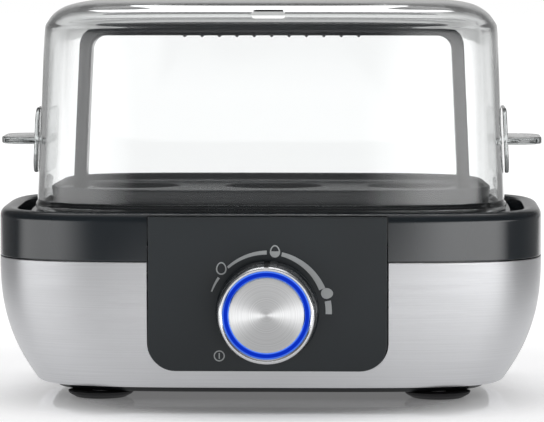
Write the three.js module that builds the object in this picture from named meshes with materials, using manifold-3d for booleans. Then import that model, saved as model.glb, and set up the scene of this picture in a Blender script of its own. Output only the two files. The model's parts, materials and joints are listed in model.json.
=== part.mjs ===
// A six-egg electric egg cooker with a clear lid, a lift-out egg rack and one lit control knob.
// Millimetres, +Z up, the control panel faces -Y. The origin is on the table under the middle of
// the cooker's bounding box. The body is a tub on plan curves that lie between an ellipse and a
// rectangle: a brushed steel sleeve, closed by a plastic rim above and a plastic pan below.
import * as THREE from "three";
import { mergeVertices } from "three/addons/utils/BufferGeometryUtils.js";
import Module from "manifold-3d";

const wasm = await Module();
wasm.setup();

// ---------------------------------------------------------------- driving dimensions
const GAP = 0.3; // clearance between neighbouring pieces
const OUTER_SEGMENTS = 36; // sides of a large outline
const INNER_SEGMENTS = 28; // sides of a hidden outline
const ROUND = 28; // sides of a knob piece
const BODY = { halfWidth: 98, halfDepth: 61, power: 4.4 };
const LID_POWER = 4;

const FOOT = { x: 60.3, y: 38.5, sole: 8.8, radius: 11.8, bore: 3.9, height: 2.4 };
const PAN = { bottom: 2.7, bossTop: 9, screwHole: 2 };
const BRACKET = { top: 39.4, tab: 51.4, thickness: 1.2, halfDepth: 6, screwX: 74.4 };
const POST = { radius: 3.4, bore: 1.8, boreTop: 20 }; // the screws through the feet end in these
const SLEEVE = { bottom: 4.7, top: 50, inset: 14, curve: 2.5, frontShare: 0.45, thickness: 1 };
const RIM = { bottom: 50.4, lip: 46.5, top: 67.5 };
const LEDGE_Z = 66; // the lid stands on this ledge
const STEP_Z = 62.4; // the egg rack stands on this step
const DECK_Z = 57; // the heating plate's gasket lies on this deck

const PANEL = { halfWidth: 42.2, bottom: 11.6, top: 66.2, radius: 9.6, front: -61.7, thickness: 2 };
const KNOB = { z: 32.8, radius: 17.4, skirtRadius: 18.3, front: -76.5 };
const LIGHT = { inner: 13.5, outer: 15.1 }; // the knob's glowing ring
const LED = { count: 4, window: 1.9 };
const BUSHING = { radius: 4.5, bore: 3.3, shaft: 3 };
const BOARD = { halfWidth: 39, bottom: 15, top: 50, back: -50.4, front: -52 };
const BOARD_SCREW = { x: 34, z: 36, bore: 1.2, post: 2.9 };
const GLAND = { x: -30, z: 24, radius: 4.6, flange: 6.6, bore: 3.2 };

const RACK = { halfWidth: 80, halfDepth: 50.2, top: 75, floor: 72, bottom: 62.8 };
const EGG = { pitchX: 53, pitchY: 48, seatTop: 18.3, seatBottom: 16.4, seatDepth: 5 };
const HANDLE = { footX: 73.4, topX: 70.7, top: 133.2, thickness: 4.7, depth: 14, radius: 9, foot: 66.4 };
const GRIP = { count: 11, pitch: 6.35, height: 0.6 };

const LID = { bottom: 66.4, bead: [85.5, 53.8], beadTop: 68.3, wall: 2 };
const VENT = { z: 136.9, halfWidth: 6.1, radius: 1.2 };
const TAB = { z: 90.6, tip: 98.3, depth: 34, thickness: 2.5, plateHeight: 23.6, plateThickness: 1.5 };

// ---------------------------------------------------------------- materials
function finish(colour, roughness, metalness = 0) {
  return new THREE.MeshStandardMaterial({ color: colour, roughness, metalness });
}
const steel = finish(0xc2c3c5, 0.34, 1);
const darkPlastic = finish(0x2f3436, 0.42);
const panelPlastic = finish(0x2a2e30, 0.5);
const rackPlastic = finish(0x303537, 0.38);
const panPlastic = finish(0x24282a, 0.55);
const rubber = finish(0x191a1b, 0.9);
const clear = new THREE.MeshStandardMaterial({
  color: 0xeef2f2,
  roughness: 0.06,
  transparent: true,
  opacity: 0.25,
});
const bezelMetal = finish(0xc9cbcd, 0.25, 1);
const spunMetal = finish(0xd4d5d7, 0.3, 1);
const litPlastic = finish(0x1536dc, 0.35);
litPlastic.emissive = new THREE.Color(0x1030ff);
const aluminium = finish(0xb5b7b9, 0.45, 1);
const plated = finish(0xa9abae, 0.4, 1);
const brass = finish(0xb9975a, 0.4, 1);
const silicone = finish(0x8b3a2c, 0.7);
const circuit = finish(0x1f5a36, 0.6);
const componentBlack = finish(0x1b1c1e, 0.55);
const componentBlue = finish(0x28508f, 0.5);
const componentWhite = finish(0xd9d7cf, 0.6);
const wireBlue = finish(0x2c5ea8, 0.6);
const wireBrown = finish(0x6b4426, 0.6);

// ---------------------------------------------------------------- shape helpers
function signedVolume(geometry) {
  const flat = geometry.index ? geometry.toNonIndexed() : geometry;
  const at = flat.getAttribute("position");
  const [a, b, c] = [new THREE.Vector3(), new THREE.Vector3(), new THREE.Vector3()];
  let sum = 0;
  for (let i = 0; i < at.count; i += 3) {
    a.fromBufferAttribute(at, i);
    b.fromBufferAttribute(at, i + 1);
    c.fromBufferAttribute(at, i + 2);
    sum += a.dot(b.cross(c));
  }
  return sum / 6;
}

// The same surface with shared vertices merged and its faces pointing out.
function closed(geometry) {
  const bare = new THREE.BufferGeometry();
  bare.setAttribute("position", geometry.getAttribute("position").clone());
  if (geometry.index) bare.setIndex(geometry.index.clone());
  const merged = mergeVertices(bare, 1e-3);
  const turned = signedVolume(merged) < 0;
  const kept = [];
  for (let i = 0; i < merged.index.count; i += 3) {
    const [a, b, c] = [0, 1, 2].map((k) => merged.index.getX(i + k));
    if (a === b || b === c || a === c) continue;
    kept.push(a, turned ? c : b, turned ? b : c);
  }
  merged.setIndex(kept);
  return merged;
}

function solid(geometry) {
  const shape = closed(geometry);
  return new wasm.Manifold(
    new wasm.Mesh({
      numProp: 3,
      vertProperties: new Float32Array(shape.getAttribute("position").array),
      triVerts: new Uint32Array(shape.index.array),
    }),
  );
}

function geometryOf(made) {
  const mesh = made.getMesh();
  const points = new Float32Array(mesh.numVert * 3);
  for (let i = 0; i < mesh.numVert; i++) {
    points.set(mesh.vertProperties.subarray(i * mesh.numProp, i * mesh.numProp + 3), i * 3);
  }
  const geometry = new THREE.BufferGeometry();
  geometry.setAttribute("position", new THREE.BufferAttribute(points, 3));
  geometry.setIndex(new THREE.BufferAttribute(new Uint32Array(mesh.triVerts), 1));
  return geometry;
}

function cut(geometry, ...tools) {
  return geometryOf(tools.reduce((left, tool) => left.subtract(solid(tool)), solid(geometry)));
}

function join(geometry, ...others) {
  return geometryOf(others.reduce((whole, other) => whole.add(solid(other)), solid(geometry)));
}

// A superellipse outline at height z.
function outline(halfWidth, halfDepth, z, power, segments) {
  return Array.from({ length: segments }, (_, i) => {
    const angle = (2 * Math.PI * (i + 0.5)) / segments;
    const [c, s] = [Math.cos(angle), Math.sin(angle)];
    return new THREE.Vector3(
      halfWidth * Math.sign(c) * Math.abs(c) ** (2 / power),
      halfDepth * Math.sign(s) * Math.abs(s) ** (2 / power),
      z,
    );
  });
}

// A closed body through a stack of outlines, each given as [half width, half depth, z]. As a ring
// the last outline joins the first. Otherwise the first and last outlines are capped.
function loft(levels, { power = BODY.power, segments = OUTER_SEGMENTS, ring = false } = {}) {
  const loops = levels.map(([w, d, z]) => outline(w, d, z, power, segments));
  const points = loops.flat();
  const faces = [];
  const spans = ring ? loops.length : loops.length - 1;
  for (let k = 0; k < spans; k++) {
    const [low, high] = [k * segments, ((k + 1) % loops.length) * segments];
    for (let i = 0; i < segments; i++) {
      const j = (i + 1) % segments;
      faces.push(low + i, low + j, high + j, low + i, high + j, high + i);
    }
  }
  if (!ring) {
    const last = (loops.length - 1) * segments;
    points.push(new THREE.Vector3(0, 0, levels[0][3] ?? levels[0][2]));
    points.push(new THREE.Vector3(0, 0, levels.at(-1)[3] ?? levels.at(-1)[2]));
    for (let i = 0; i < segments; i++) {
      const j = (i + 1) % segments;
      faces.push(points.length - 2, j, i, points.length - 1, last + i, last + j);
    }
  }
  const geometry = new THREE.BufferGeometry().setFromPoints(points);
  geometry.setIndex(faces);
  return geometry;
}

// A body turned about the Y axis from [radius, y] points.
function turnedY(profile, segments = 36) {
  return new THREE.LatheGeometry(
    profile.map(([r, y]) => new THREE.Vector2(r, y)),
    segments,
  );
}

// The same about the Z axis, from [radius, z] points.
function turnedZ(profile, segments = 24) {
  return turnedY(profile, segments).rotateX(Math.PI / 2);
}

function discY(radius, back, front, segments = 24) {
  return turnedY([[0, back], [radius, back], [radius, front], [0, front]], segments);
}

function discZ(radius, low, high, segments = 24) {
  return turnedZ([[0, low], [radius, low], [radius, high], [0, high]], segments);
}

function box(width, depth, height, x, y, z) {
  return new THREE.BoxGeometry(width, depth, height).translate(x, y, z);
}

function roundedRectangle(halfWidth, low, high, radius) {
  const shape = new THREE.Shape();
  shape.moveTo(-halfWidth, high);
  shape.lineTo(-halfWidth, low + radius);
  shape.absarc(-halfWidth + radius, low + radius, radius, Math.PI, 1.5 * Math.PI, false);
  shape.lineTo(halfWidth - radius, low);
  shape.absarc(halfWidth - radius, low + radius, radius, 1.5 * Math.PI, 2 * Math.PI, false);
  shape.lineTo(halfWidth, high);
  return shape;
}

// A shape drawn in X and Z, as a plate from y = back forward to y = front.
function plateY(shape, back, front, curveSegments = 8) {
  const geometry = new THREE.ExtrudeGeometry(shape, {
    depth: back - front,
    bevelEnabled: false,
    curveSegments,
  });
  return geometry.rotateX(Math.PI / 2).translate(0, back, 0);
}

// A round rod or wire along a smooth curve through the points.
function rod(points, radius, steps, sides = 8) {
  const section = new THREE.Shape().absarc(0, 0, radius, 0, 2 * Math.PI, false);
  return new THREE.ExtrudeGeometry(section, {
    extrudePath: new THREE.CatmullRomCurve3(points.map((p) => new THREE.Vector3(...p))),
    steps,
    curveSegments: sides,
    bevelEnabled: false,
  });
}

// A slotted screw with its head down: the head's underside at z = 0 and the tip at z = length.
function screw(headRadius, headHeight, shankRadius, length) {
  const blank = turnedZ(
    [
      [0, -headHeight],
      [headRadius * 0.75, -headHeight],
      [headRadius, -headHeight * 0.4],
      [headRadius, 0],
      [shankRadius, 0],
      [shankRadius, length],
      [0, length],
    ],
    10,
  );
  return cut(blank, box(headRadius * 3, headRadius * 0.25, headHeight, 0, 0, -headHeight));
}

// ---------------------------------------------------------------- assembly
const eggCooker = new THREE.Group();
const body = new THREE.Group();
eggCooker.add(body);

function add(name, geometry, material, position = [0, 0, 0]) {
  const mesh = new THREE.Mesh(closed(geometry), material);
  mesh.name = name;
  mesh.position.set(...position);
  body.add(mesh);
  return mesh;
}

// ---------------------------------------------------------------- steel sleeve
// How far the tub has drawn in from its widest outline at height z.
function sleeveInset(z) {
  const fall = (SLEEVE.top - z) / (SLEEVE.top - SLEEVE.bottom);
  return SLEEVE.inset * Math.max(fall, 0) ** SLEEVE.curve;
}

function sleeveLevel(z, inward) {
  const inset = sleeveInset(z);
  return [
    BODY.halfWidth - inset - inward,
    BODY.halfDepth - SLEEVE.frontShare * inset - inward,
    z,
  ];
}

// Places a shape, made about the Y axis, square to the sleeve's leaning back wall at the gland.
function atGland(geometry) {
  const wall = (z) => BODY.halfDepth - SLEEVE.frontShare * sleeveInset(z);
  const lean = Math.atan(wall(GLAND.z + 0.5) - wall(GLAND.z - 0.5));
  return geometry.rotateX(-lean).translate(GLAND.x, wall(GLAND.z), GLAND.z);
}

// The sleeve's lower edge turns in to a flange that stands on the base pan's shoulder.
function steelSleeve() {
  const heights = [7.6, 12, 19, 28, 38, SLEEVE.top];
  const flange = [BODY.halfWidth - 20.4, BODY.halfDepth - 12.6];
  const [w, d] = [BODY.halfWidth - 16, BODY.halfDepth - 9];
  const outside = [
    [...flange, SLEEVE.bottom],
    [w, d, SLEEVE.bottom],
    [w + 2.2, d + 1.9, SLEEVE.bottom + 0.9],
    ...heights.map((z) => sleeveLevel(z, 0)),
  ];
  const inside = [
    ...heights.toReversed().map((z) => sleeveLevel(z, SLEEVE.thickness)),
    [w - 0.2, d - 0.2, SLEEVE.bottom + 1],
    [...flange, SLEEVE.bottom + 1],
  ];
  const notch = roundedRectangle(
    PANEL.halfWidth + GAP,
    PANEL.bottom - GAP,
    SLEEVE.top + 5,
    PANEL.radius + GAP,
  );
  const gland = atGland(discY(GLAND.radius + GAP, 9, -9));
  return cut(loft([...outside, ...inside], { ring: true }), plateY(notch, -40, -80), gland);
}

add("steel_sleeve", steelSleeve(), steel);

// ---------------------------------------------------------------- rim, ledge and deck
const corners = [
  ["front_left", -1, -1],
  ["front_right", 1, -1],
  ["rear_left", -1, 1],
  ["rear_right", 1, 1],
];

function atCorners(makeTool) {
  return corners.map(([, sx, sy]) => makeTool().translate(sx * FOOT.x, sy * FOOT.y, 0));
}

function upperHousing() {
  const { halfWidth: w, halfDepth: d } = BODY;
  const deckUnder = DECK_Z - 2.2;
  const grooveFloor = 59.5;
  const grooveUnder = 57.3;
  // Up the outside, over the crown and down into the groove, over the lid's ledge, down the rack's
  // step to the deck, then back underneath to the lip inside the sleeve.
  const ring = loft(
    [
      [w, d, RIM.bottom],
      [w, d, 65],
      [w - 0.9, d - 0.7, 66.7],
      [w - 3.4, d - 2.4, RIM.top],
      [w - 6.2, d - 4.4, 66.9],
      [w - 7, d - 5.1, grooveFloor],
      [w - 10.8, d - 6.1, grooveFloor],
      [w - 11.1, d - 6.3, LEDGE_Z],
      [w - 16.4, d - 9.6, LEDGE_Z],
      [w - 16.6, d - 9.8, STEP_Z],
      [w - 21.8, d - 14.4, STEP_Z],
      [w - 22.2, d - 14.8, DECK_Z],
      [w - 27, d - 19, DECK_Z],
      [w - 27, d - 19, deckUnder],
      [w - 20.2, d - 13, deckUnder],
      [w - 20, d - 12.8, STEP_Z - 2.4],
      [w - 13, d - 8, STEP_Z - 2.4],
      [w - 12.8, d - 7.8, grooveUnder],
      [w - 2.6, d - 2.4, grooveUnder],
      [w - 2.6, d - 2.4, RIM.lip],
      [w - 1.5, d - 1.4, RIM.lip],
      [w - 1.5, d - 1.4, RIM.bottom],
    ],
    { ring: true },
  );
  const posts = atCorners(() => discZ(POST.radius, PAN.bossTop + GAP, deckUnder + 0.5, 12));
  const bores = atCorners(() => discZ(POST.bore, PAN.bossTop, POST.boreTop, 10));
  const bracketBosses = [-1, 1].map((side) =>
    discZ(3, BRACKET.tab + GAP, deckUnder + 0.5, 12).translate(side * BRACKET.screwX, 0, 0),
  );
  const bracketBores = [-1, 1].map((side) =>
    discZ(1.6, BRACKET.tab, DECK_Z - 1, 10).translate(side * BRACKET.screwX, 0, 0),
  );
  const panelTop = PANEL.top + GAP;
  const notchBack = 3.4 - BODY.halfDepth;
  const notch = box(2 * (PANEL.halfWidth + GAP), 12, 24, 0, notchBack - 6, panelTop - 12);
  return cut(join(ring, ...posts, ...bracketBosses), ...bores, ...bracketBores, notch);
}

add("upper_housing", upperHousing(), darkPlastic);

// ---------------------------------------------------------------- control panel
// LEDs stand in a circle behind the knob's light ring.
function ledPlaces() {
  const radius = (LIGHT.inner + LIGHT.outer) / 2;
  return Array.from({ length: LED.count }, (_, i) => {
    const angle = (2 * Math.PI * (i + 0.5)) / LED.count;
    return [radius * Math.sin(angle), KNOB.z + radius * Math.cos(angle)];
  });
}

// A face plate whose lower part is a box, open at the back, that fills the notch in the sleeve.
function controlPanel() {
  const { halfWidth, bottom, radius, front } = PANEL;
  const back = front + PANEL.thickness;
  const boxBack = -54.4;
  const boxTop = SLEEVE.top - 0.6;
  const wall = 1.8;
  const face = plateY(roundedRectangle(halfWidth, bottom, PANEL.top, radius), back, front);
  const lower = roundedRectangle(halfWidth, bottom, boxTop, radius);
  const hollow = roundedRectangle(halfWidth - wall, bottom + wall, boxTop + 1, radius - wall);
  const tray = cut(plateY(lower, boxBack, front + 1), plateY(hollow, boxBack + 1, back));
  const posts = [];
  const bores = [];
  for (const side of [-1, 1]) {
    const place = [side * BOARD_SCREW.x, 0, BOARD_SCREW.z];
    posts.push(discY(BOARD_SCREW.post, BOARD.front - GAP, back - 0.5, 12).translate(...place));
    bores.push(discY(BOARD_SCREW.bore, -50, back - 0.8, 10).translate(...place));
  }
  const shaftHole = discY(BUSHING.radius + GAP, -50, -70, 20).translate(0, 0, KNOB.z);
  const windows = ledPlaces().map(([x, z]) => discY(LED.window, -50, -70, 10).translate(x, 0, z));
  return cut(join(face, tray, ...posts), shaftHole, ...bores, ...windows);
}

add("control_panel", controlPanel(), panelPlastic);

// ---------------------------------------------------------------- base pan and feet
function basePan() {
  const shell = loft(
    [
      [74.8, 45.4, PAN.bottom],
      [77.4, 48, PAN.bottom + 0.5],
      [79.6, 50.2, SLEEVE.bottom - 0.3],
      [77.3, 48.1, SLEEVE.bottom - 0.3],
      [77.2, 48, 8],
      [75.4, 46.2, 8],
      [75.2, 46, 5],
      [74, 45, 4.5],
    ],
    { segments: INNER_SEGMENTS },
  );
  const bosses = atCorners(() => discZ(POST.radius + 1.4, 4, PAN.bossTop, 14));
  const holes = atCorners(() => discZ(PAN.screwHole, 0, 12, 10));
  return cut(join(shell, ...bosses), ...holes);
}

add("base_pan", basePan(), panPlastic);

for (const [corner, sx, sy] of corners) {
  const { x, y, sole, radius, bore, height } = FOOT;
  const foot = turnedZ(
    [
      [bore, 0],
      [sole, 0],
      [radius, height - 0.3],
      [radius, height],
      [bore, height],
      [bore, 0],
    ],
    16,
  );
  add(`foot_${corner}`, foot, rubber, [sx * x, sy * y, 0]);
  add(`base_screw_${corner}`, screw(3.2, 1.7, 1.5, 15), plated, [sx * x, sy * y, height]);
}

// ---------------------------------------------------------------- heating plate and heater
const PLATE = { halfWidth: BODY.halfWidth - 28.5, halfDepth: BODY.halfDepth - 20.4 };

function heatingPlate() {
  const { halfWidth: w, halfDepth: d } = PLATE;
  return loft(
    [
      [w - 3, d - 3, 53.6],
      [w, d, 54.4],
      [w + 0.7, d + 0.7, 57.9],
      [w + 4.6, d + 4.4, 57.9],
      [w + 4.6, d + 4.4, 58.8],
      [w - 0.2, d - 0.2, 58.8],
      [w - 1.2, d - 1.2, 55.4],
      [w - 3.8, d - 3.8, 54.7],
    ],
    { segments: INNER_SEGMENTS },
  );
}

function plateGasket() {
  const { halfWidth: w, halfDepth: d } = PLATE;
  const [low, high] = [DECK_Z + 0.2, DECK_Z + 0.7];
  return loft(
    [
      [w + 2, d + 2, low],
      [w + 4.4, d + 4.2, low],
      [w + 4.4, d + 4.2, high],
      [w + 2, d + 2, high],
    ],
    { segments: INNER_SEGMENTS, ring: true },
  );
}

const HEATER = { halfLength: 36, bend: 17, z: 43.2, radius: 3.2 };

// One loop of tube whose two ends turn down towards the control board.
function heatingElement() {
  const { halfLength: x, bend: r, z } = HEATER;
  const arc = (sign, angles) =>
    angles.map((degrees) => {
      const angle = THREE.MathUtils.degToRad(degrees);
      return [sign * (x - r + r * Math.cos(angle)), r * Math.sin(angle), z];
    });
  const path = [
    [-10, -36, z - 6],
    [-10, -30, z - 3],
    [-10, -22, z],
    [-3, -r - 0.6, z],
    ...arc(1, [-60, -20, 20, 60]),
    [0, r, z],
    ...arc(-1, [60, 20, -20]),
    [-26, -19, z],
    [-23, -27, z - 2],
    [-23, -36, z - 6],
  ];
  return rod(path, HEATER.radius, 36, 4);
}

// A strip that hangs from the deck and holds the heater up against the spreader.
function heaterBracket() {
  const { top, thickness: t, tab } = BRACKET;
  const upper = [[-77.4, tab], [-70.8, tab], [-60, top], [60, top], [70.8, tab], [77.4, tab]];
  const lower = upper.toReversed().map(([x, z]) => [x + Math.sign(x) * (Math.abs(x) < 75) * 0.6, z - t]);
  const strip = new THREE.Shape([...upper, ...lower].map(([x, z]) => new THREE.Vector2(x, z)));
  const hole = (side) => discZ(1.9, tab - 5, tab + 5, 10).translate(side * BRACKET.screwX, 0, 0);
  return cut(plateY(strip, BRACKET.halfDepth, -BRACKET.halfDepth), hole(-1), hole(1));
}

function heatShield() {
  const plate = loft([[62, 34, 30.6], [62, 34, 31.4]], { segments: 24 });
  const earTop = BRACKET.top - BRACKET.thickness - GAP;
  const ears = [-1, 1].map((side) => box(1, 10, earTop - 31, side * 50, 0, (earTop + 31) / 2));
  return join(plate, ...ears);
}

add("heating_plate", heatingPlate(), steel);
add("plate_gasket", plateGasket(), silicone);
const spreader = loft([[48, 32, 46.9], [50, 34, 48.5], [50, 34, 53.2]], { segments: 24 });
add("heat_spreader", spreader, aluminium);
add("heating_element", heatingElement(), plated);
add("heater_bracket", heaterBracket(), plated);
for (const [side, sign] of [["left", -1], ["right", 1]]) {
  const place = [sign * BRACKET.screwX, 0, BRACKET.tab - BRACKET.thickness - GAP];
  add(`bracket_screw_${side}`, screw(2.9, 1.6, 1.3, 5.2), plated, place);
}
add("temperature_sensor", discZ(4, BRACKET.top + GAP, 46.5, 14), plated, [7, 0, 0]);
add("thermal_fuse", discY(2, 9, -9, 10).rotateZ(Math.PI / 2), componentWhite, [-8, 3, 44.5]);
add("heat_shield", heatShield(), aluminium);

// ---------------------------------------------------------------- knob and encoder
function knobPart(name, profile, material) {
  return add(name, turnedY(profile, ROUND), material, [0, 0, KNOB.z]);
}

const SKIRT = { back: -62, front: -64.6, bore: LIGHT.outer + GAP };
const skirt = turnedY(
  [
    [SKIRT.bore, SKIRT.back],
    [KNOB.skirtRadius, SKIRT.back],
    [KNOB.skirtRadius, SKIRT.back - 1.2],
    [KNOB.radius + 0.2, SKIRT.front],
    [SKIRT.bore, SKIRT.front],
    [SKIRT.bore, SKIRT.back],
  ],
  ROUND,
);
const pointerSlot = box(2, 6, 3, 0, SKIRT.front + 1, 18.4);
add("knob_skirt", cut(skirt, pointerSlot), darkPlastic, [0, 0, KNOB.z]);
add("knob_pointer", box(1.4, 1.9, 1, 0, SKIRT.front + 1, 17.8), componentBlack, [0, 0, KNOB.z]);
knobPart(
  "knob_bezel",
  [
    [LIGHT.outer + GAP, SKIRT.front - GAP],
    [KNOB.radius, SKIRT.front - GAP],
    [KNOB.radius - 0.5, -75],
    [KNOB.radius - 1.2, KNOB.front],
    [LIGHT.outer + GAP, KNOB.front + 0.2],
    [LIGHT.outer + GAP, SKIRT.front - GAP],
  ],
  bezelMetal,
);
knobPart(
  "light_ring",
  [
    [LIGHT.inner, SKIRT.back - GAP],
    [LIGHT.outer, SKIRT.back - GAP],
    [LIGHT.outer, KNOB.front + 0.5],
    [LIGHT.inner, KNOB.front + 0.5],
    [LIGHT.inner, SKIRT.back - GAP],
  ],
  litPlastic,
);
const coreRadius = LIGHT.inner - GAP;
const CORE = { back: -65, front: -73.4, bore: BUSHING.shaft + GAP };
knobPart(
  "knob_core",
  [
    [CORE.bore, CORE.back],
    [coreRadius, CORE.back],
    [coreRadius, CORE.front],
    [CORE.bore, CORE.front],
    [CORE.bore, CORE.back],
  ],
  darkPlastic,
);
knobPart(
  "knob_cap",
  [
    [0, CORE.front - GAP],
    [coreRadius, CORE.front - GAP],
    [coreRadius, KNOB.front + 0.5],
    [coreRadius - 0.4, KNOB.front + 0.2],
    [0, KNOB.front + 0.3],
  ],
  spunMetal,
);

const flat = box(8, 9, 3, 0, -69, BUSHING.shaft + 0.6);
const shaft = cut(discY(BUSHING.shaft, -57.4, CORE.front + 0.2, 16), flat);
add("knob_shaft", shaft, plated, [0, 0, KNOB.z]);

function rotaryEncoder() {
  const housing = box(13, 6.4, 13, 0, BOARD.front - GAP - 3.2, 0);
  const bushing = discY(BUSHING.radius, -58, SKIRT.front + 0.1, 16);
  return cut(join(housing, bushing), discY(BUSHING.bore, -57, -70, 16));
}

const encoderNut = cut(
  discY(6.6, PANEL.front - GAP, SKIRT.front + 0.4, 6),
  discY(BUSHING.radius + GAP, -50, -70, 16),
);

add("rotary_encoder", rotaryEncoder(), plated, [0, 0, KNOB.z]);
add("encoder_nut", encoderNut, brass, [0, 0, KNOB.z]);

// ---------------------------------------------------------------- electronics
function controlBoard() {
  const thickness = BOARD.back - BOARD.front;
  const height = BOARD.top - BOARD.bottom;
  const middle = [0, (BOARD.back + BOARD.front) / 2, (BOARD.top + BOARD.bottom) / 2];
  const holes = [-1, 1].map((side) =>
    discY(1.7, -45, -60, 10).translate(side * BOARD_SCREW.x, 0, BOARD_SCREW.z),
  );
  return cut(box(2 * BOARD.halfWidth, thickness, height, ...middle), ...holes);
}

add("control_board", controlBoard(), circuit);
for (const [side, sign] of [["left", -1], ["right", 1]]) {
  const boardScrew = screw(2.6, 1.5, 1, 7).rotateX(Math.PI / 2);
  const place = [sign * BOARD_SCREW.x, BOARD.back + GAP, BOARD_SCREW.z];
  add(`board_screw_${side}`, boardScrew, plated, place);
}
ledPlaces().forEach(([x, z], i) => {
  add(`led_${i + 1}`, discY(1.5, BOARD.front - GAP, -57.5, 8), componentWhite, [x, 0, z]);
});
const partBack = BOARD.back + GAP;
add("power_relay", box(19, 15, 15, -24, partBack + 7.5, 24), componentBlue);
add("film_capacitor", box(8, 9, 15, -4, partBack + 4.5, 24), componentWhite);
add("buzzer", discY(6, partBack + 7, partBack, 14), componentBlack, [26, 0, 22]);
add("smoothing_capacitor", discY(4.5, partBack + 12, partBack, 14), componentBlack, [10, 0, 22]);
add("terminal_block", box(30, 15, 11, -28, 22, 10.3), componentWhite);

// The grommet where a mains cord enters through the back of the sleeve.
function cordGland() {
  const { radius, flange, bore } = GLAND;
  const profile = [
    [bore, 2.9],
    [flange - 0.8, 2.9],
    [flange, 2.2],
    [flange, 0.5],
    [radius, 0.5],
    [radius, -4.5],
    [bore, -4.5],
    [bore, 2.9],
  ];
  return atGland(turnedY(profile, 20));
}

add("cord_gland", cordGland(), rubber);

const wires = [
  ["relay_wire", wireBrown, [-34, 13.6, 12], [-36, 2, 16], [-32, -18, 26], [-24, -34.2, 29]],
  ["board_wire", wireBlue, [-22, 13.6, 12], [-13, 0, 13], [-11.2, -24, 14], [-11.2, -49.7, 20]],
  ["heater_wire_left", wireBrown, [-23, -37.4, 37.6], [-23.6, -41, 37.2], [-24, -42.6, 32.4]],
  ["heater_wire_right", wireBlue, [-10, -37.4, 37.6], [-8, -42, 38.6], [-4, -49.3, 42]],
];
for (const [name, colour, ...points] of wires) {
  add(name, rod(points, 1.1, 8, 3), colour);
}

// ---------------------------------------------------------------- egg rack and its handle
const eggPlaces = [-1, 0, 1].flatMap((column) =>
  [-0.5, 0.5].map((row) => [column * EGG.pitchX, row * EGG.pitchY]),
);

function eggRack() {
  const { halfWidth: w, halfDepth: d, top, floor, bottom } = RACK;
  const tub = loft(
    [
      [w - 3.5, d - 3.3, floor - 1.8],
      [w - 3, d - 3, bottom],
      [w - 1.2, d - 1.2, bottom],
      [w, d, top - 0.6],
      [w - 0.4, d - 0.4, top],
      [w - 1.4, d - 1.4, top],
      [w - 1.8, d - 1.8, top - 0.5],
      [w - 2.2, d - 2.2, floor],
    ],
    { power: LID_POWER },
  );
  const collars = eggPlaces.map(([x, y]) =>
    discZ(EGG.seatTop + 1.2, floor - EGG.seatDepth, floor - 1, 20).translate(x, y, 0),
  );
  const slope = (EGG.seatTop - EGG.seatBottom) / EGG.seatDepth;
  const seats = eggPlaces.map(([x, y]) =>
    turnedZ(
      [
        [0, floor - EGG.seatDepth - 1],
        [EGG.seatBottom - slope, floor - EGG.seatDepth - 1],
        [EGG.seatTop + slope, floor + 1],
        [0, floor + 1],
      ],
      20,
    ).translate(x, y, 0),
  );
  const sockets = [-1, 1].map((side) => box(9.4, 18, 6.2, side * 70.6, 0, floor - 2.4));
  const slots = [-1, 1].map((side) =>
    box(HANDLE.thickness + 2 * GAP + 0.7, HANDLE.depth + 2 * GAP, 14, side * 70.9, 0, floor - 1),
  );
  return cut(join(tub, ...collars, ...sockets), ...seats, ...slots);
}

add("egg_rack", eggRack(), rackPlastic);

function rackHandle() {
  const { footX, topX, top, thickness: t, radius: r, foot } = HANDLE;
  const inner = r - t + 1.2;
  const arch = new THREE.Shape();
  arch.moveTo(-footX, foot);
  arch.lineTo(-topX, top - r);
  arch.absarc(-topX + r, top - r, r, Math.PI, Math.PI / 2, true);
  arch.lineTo(topX - r, top);
  arch.absarc(topX - r, top - r, r, Math.PI / 2, 0, true);
  arch.lineTo(footX, foot);
  arch.lineTo(footX - t, foot);
  arch.lineTo(topX - t, top - t - inner);
  arch.absarc(topX - t - inner, top - t - inner, inner, 0, Math.PI / 2, false);
  for (let i = 0; i < GRIP.count; i++) {
    const x = ((GRIP.count - 1) / 2 - i) * GRIP.pitch;
    arch.lineTo(x + GRIP.height, top - t);
    arch.lineTo(x, top - t - GRIP.height);
    arch.lineTo(x - GRIP.height, top - t);
  }
  arch.absarc(-topX + t + inner, top - t - inner, inner, Math.PI / 2, Math.PI, false);
  arch.lineTo(-footX + t, foot);
  return plateY(arch, HANDLE.depth / 2, -HANDLE.depth / 2, 6);
}

add("rack_handle", rackHandle(), rackPlastic);

// ---------------------------------------------------------------- lid
// Half width, half depth and height up the outside of the lid.
const lidOutside = [
  [84.9, 53.2, 69],
  [82.3, 51.4, 128],
  [80.9, 51.2, 134],
  [77, 50.9, 138],
  [71, 49.3, 140.3],
  [60, 45, 141.3],
  [35, 27, 141.8, 142],
];

// The same up its inside.
const lidInside = [
  [82.9, 51.2, LID.bottom],
  [80.3, 49.4, 127.6],
  [79, 49.2, 132.9],
  [75.6, 48.9, 136.4],
  [70.2, 47.2, 138.4],
  [60, 43.5, 139.3],
  [35, 27, 139.8, 140],
];

function lidShell() {
  const [beadWidth, beadDepth] = LID.bead;
  const shell = loft(
    [
      ...lidInside.toReversed(),
      [beadWidth, beadDepth, LID.bottom],
      [beadWidth, beadDepth, LID.beadTop],
      ...lidOutside,
    ],
    { power: LID_POWER },
  );
  const vent = new THREE.Shape();
  const end = VENT.halfWidth - VENT.radius;
  vent.absarc(-end, VENT.z, VENT.radius, Math.PI / 2, 1.5 * Math.PI, false);
  vent.absarc(end, VENT.z, VENT.radius, -Math.PI / 2, Math.PI / 2, false);
  return cut(shell, plateY(vent, -44.9, -60, 4));
}

add("lid", lidShell(), clear);

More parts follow.
